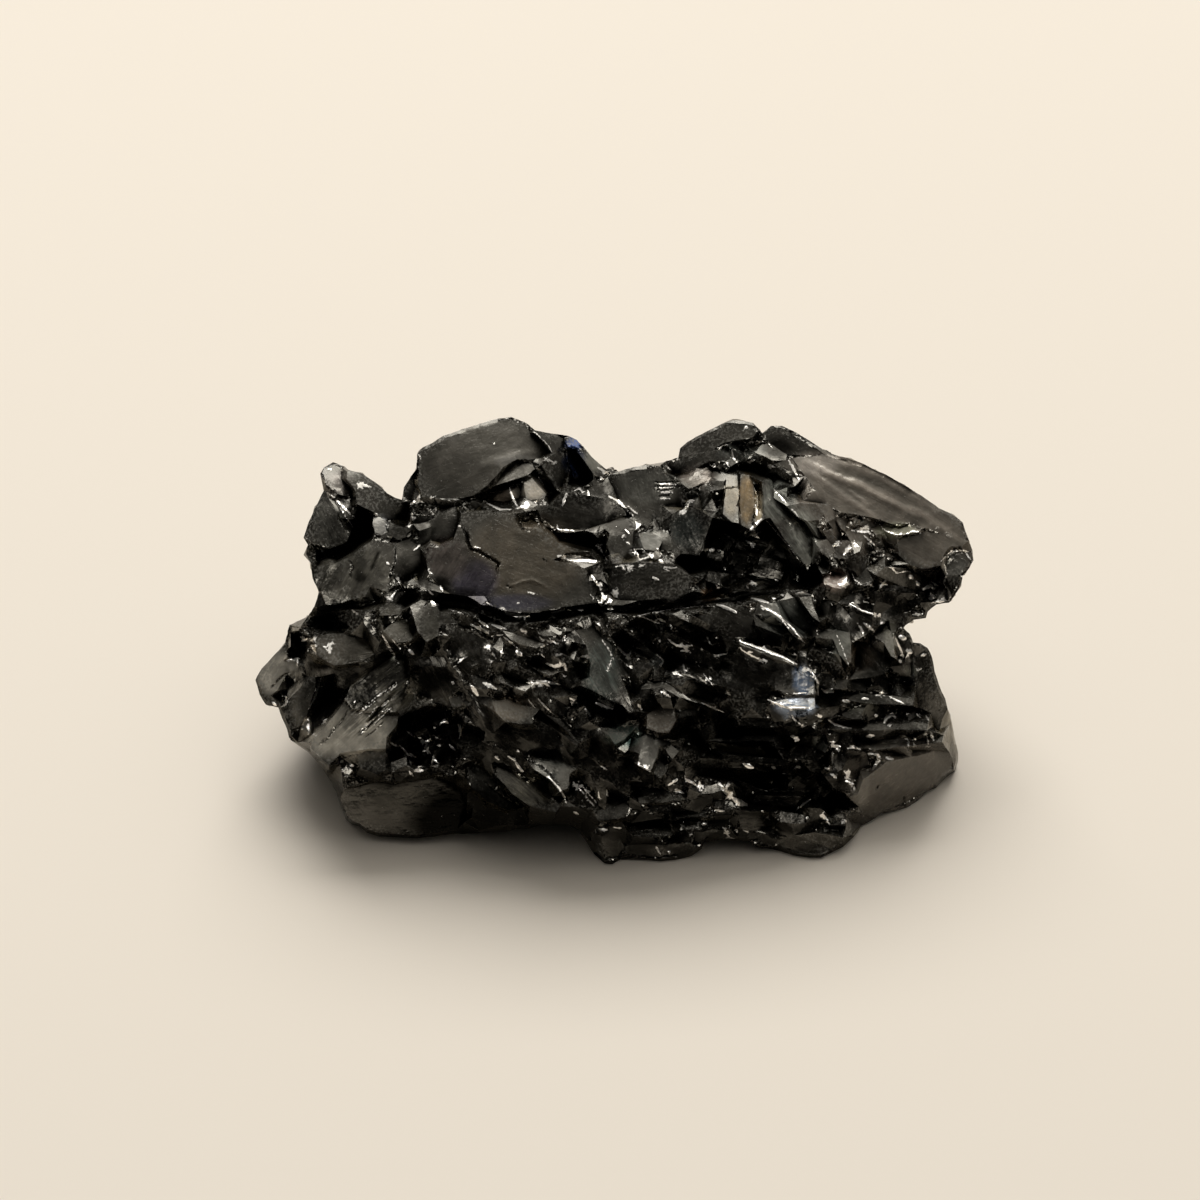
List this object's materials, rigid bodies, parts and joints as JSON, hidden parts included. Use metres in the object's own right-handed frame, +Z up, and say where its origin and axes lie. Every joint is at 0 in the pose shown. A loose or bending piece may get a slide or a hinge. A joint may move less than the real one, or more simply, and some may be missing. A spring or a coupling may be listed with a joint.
{
  "type": "shungite stone",
  "caption": "Rough lump of noble shungite, black and glassy, with shell-like breaks, ledges and crumbled seams.",
  "frame": {"origin": "middle of the bounding box's bottom face, on the surface that the stone rests on", "axes": "+X along the stone's longest side, towards the shell-like wing; +Y away from the viewer, towards the back wall; +Z up"},
  "size_m": [0.0796, 0.0408, 0.0335],
  "materials": {
    "shungite": "glassy black, shell-like breaks with a mirror sheen, brown-grey where light grazes them"
  },
  "bodies": {
    "root": {"shungite_stone": "shungite"}
  },
  "joints": []
}
